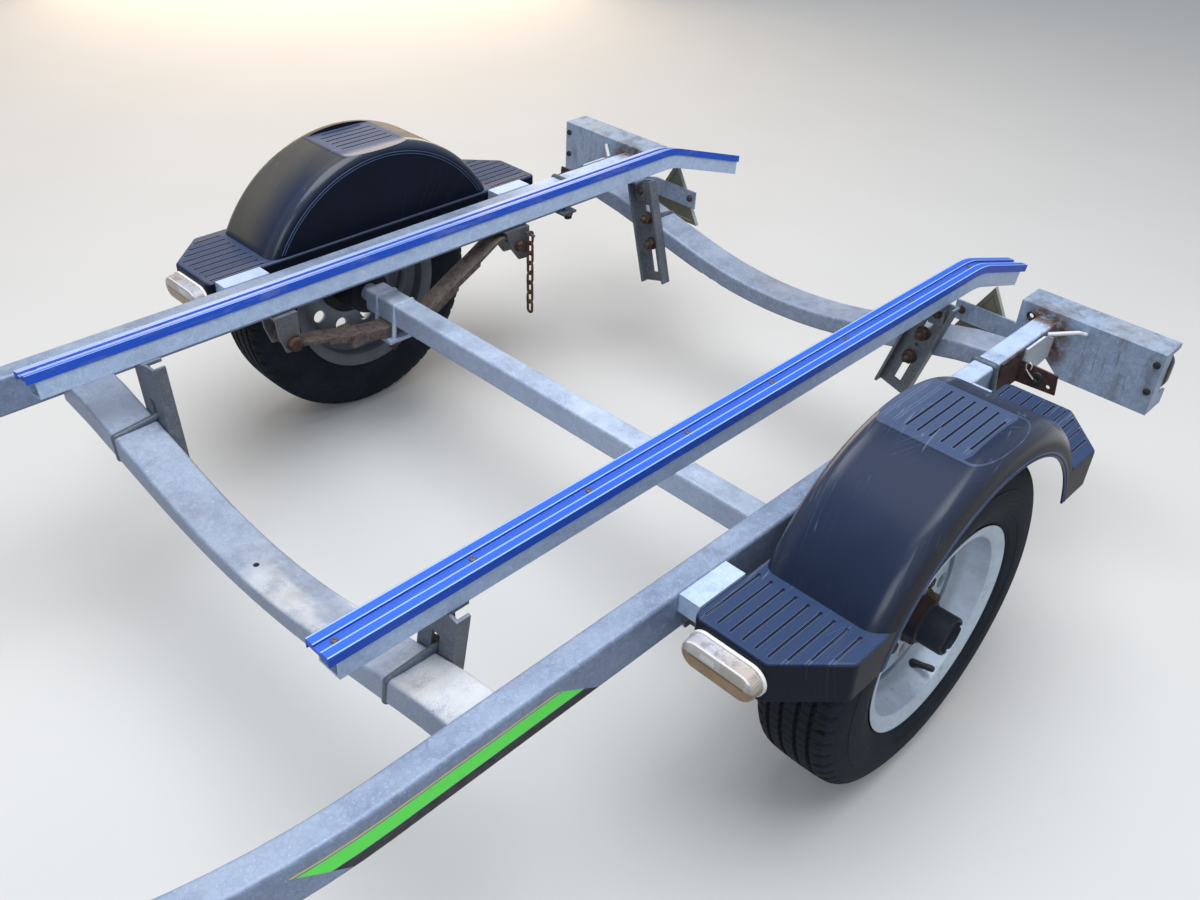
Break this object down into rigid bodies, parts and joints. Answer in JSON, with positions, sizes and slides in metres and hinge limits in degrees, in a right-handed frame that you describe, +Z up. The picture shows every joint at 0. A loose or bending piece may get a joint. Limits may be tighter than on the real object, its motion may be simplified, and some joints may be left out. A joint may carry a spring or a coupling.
{
  "type": "boat trailer",
  "caption": "Galvanised trailer for a small boat, with two blue-topped bunks, bowed crossmembers, leaf springs, black moulded fenders, a winch post and a jockey wheel.",
  "frame": {"origin": "on the ground, below the middle of the trailer's length, on its centre line", "axes": "+X towards the coupling, +Y to the trailer's left, +Z up"},
  "size_m": [3.6052, 1.54, 0.84],
  "materials": {
    "galvanised": "spangled zinc, dulled by weather",
    "wheel_silver": "silver paint, dusty",
    "black_plastic": "moulded, sun-greyed on top",
    "blue_plastic": "extruded strip",
    "rusty_steel": "brown rust",
    "black_metal": "black paint, worn",
    "rubber_black": "plain",
    "tyre": "treaded",
    "white_plastic": "aged white",
    "clear_lens": "clear lens over amber",
    "red_lens": "red lens",
    "olive_plastic": "faded back of a reflector"
  },
  "bodies": {
    "chassis": {"axle": "galvanised", "axle_clamps": "galvanised", "bow_stop": "rubber_black", "bunk_brackets": "galvanised", "bunk_left": "galvanised", "bunk_right": "galvanised", "bunk_strip_left": "blue_plastic", "bunk_strip_right": "blue_plastic", "coupler": "galvanised", "coupler_handle": "black_plastic", "fender_brackets": "galvanised", "fender_left": "black_plastic", "fender_right": "black_plastic", "front_crossmember": "galvanised", "jockey_handle": "galvanised", "jockey_tube": "galvanised", "lamp_plates": "galvanised", "marker_gaskets": "white_plastic", "marker_lenses": "clear_lens", "rail_end_fittings": "galvanised", "rail_left": "galvanised", "rail_right": "galvanised", "rear_chain": "rusty_steel", "rear_crossmember": "galvanised", "rear_lamp_bodies": "black_plastic", "rear_lamp_lenses": "red_lens", "reflectors": "olive_plastic", "side_brackets": "rusty_steel", "spring_hangers": "galvanised", "spring_left": "rusty_steel", "spring_right": "rusty_steel", "tongue": "galvanised", "u_bolts": "galvanised", "winch_frame": "galvanised", "winch_post": "galvanised"},
    "wheel_left": {"tyre_left": "tyre", "wheel_left": "wheel_silver", "hub_left": "black_metal"},
    "wheel_right": {"tyre_right": "tyre", "wheel_right": "wheel_silver", "hub_right": "black_metal"},
    "jockey_leg": {"jockey_leg": "galvanised"},
    "jockey_fork": {"jockey_fork": "galvanised"},
    "jockey_wheel": {"jockey_rim": "black_plastic", "jockey_tyre": "tyre"},
    "winch_drum": {"winch_drum": "galvanised"},
    "winch_crank": {"winch_crank": "galvanised", "crank_grip": "black_plastic"}
  },
  "joints": [
    {"name": "wheel_left_spin", "type": "hinge", "parent": "chassis", "child": "wheel_left", "pos_m": [-0.91739, 0.684, 0.271], "axis": [0, 1, 0], "continuous": true},
    {"name": "wheel_right_spin", "type": "hinge", "parent": "chassis", "child": "wheel_right", "pos_m": [-0.91739, -0.684, 0.271], "axis": [0, 1, 0], "continuous": true},
    {"name": "jockey_raise", "type": "slide", "parent": "chassis", "child": "jockey_leg", "axis": [0, 0, 1], "range_m": [0, 0.145]},
    {"name": "jockey_swivel", "type": "hinge", "parent": "jockey_leg", "child": "jockey_fork", "pos_m": [1.41261, 0.092, 0.217], "axis": [0, 0, 1], "continuous": true},
    {"name": "jockey_wheel_spin", "type": "hinge", "parent": "jockey_fork", "child": "jockey_wheel", "pos_m": [1.35761, 0.092, 0.1], "axis": [0, 1, 0], "continuous": true},
    {"name": "winch_drum_spin", "type": "hinge", "parent": "chassis", "child": "winch_drum", "pos_m": [1.22261, 0, 0.76], "axis": [0, 1, 0], "continuous": true},
    {"name": "winch_crank_spin", "type": "hinge", "parent": "chassis", "child": "winch_crank", "pos_m": [1.25561, 0, 0.804], "axis": [0, 1, 0], "continuous": true}
  ],
  "couplings": [
    {"joint": "winch_crank_spin", "follows": "winch_drum_spin", "ratio": -3.2}
  ]
}
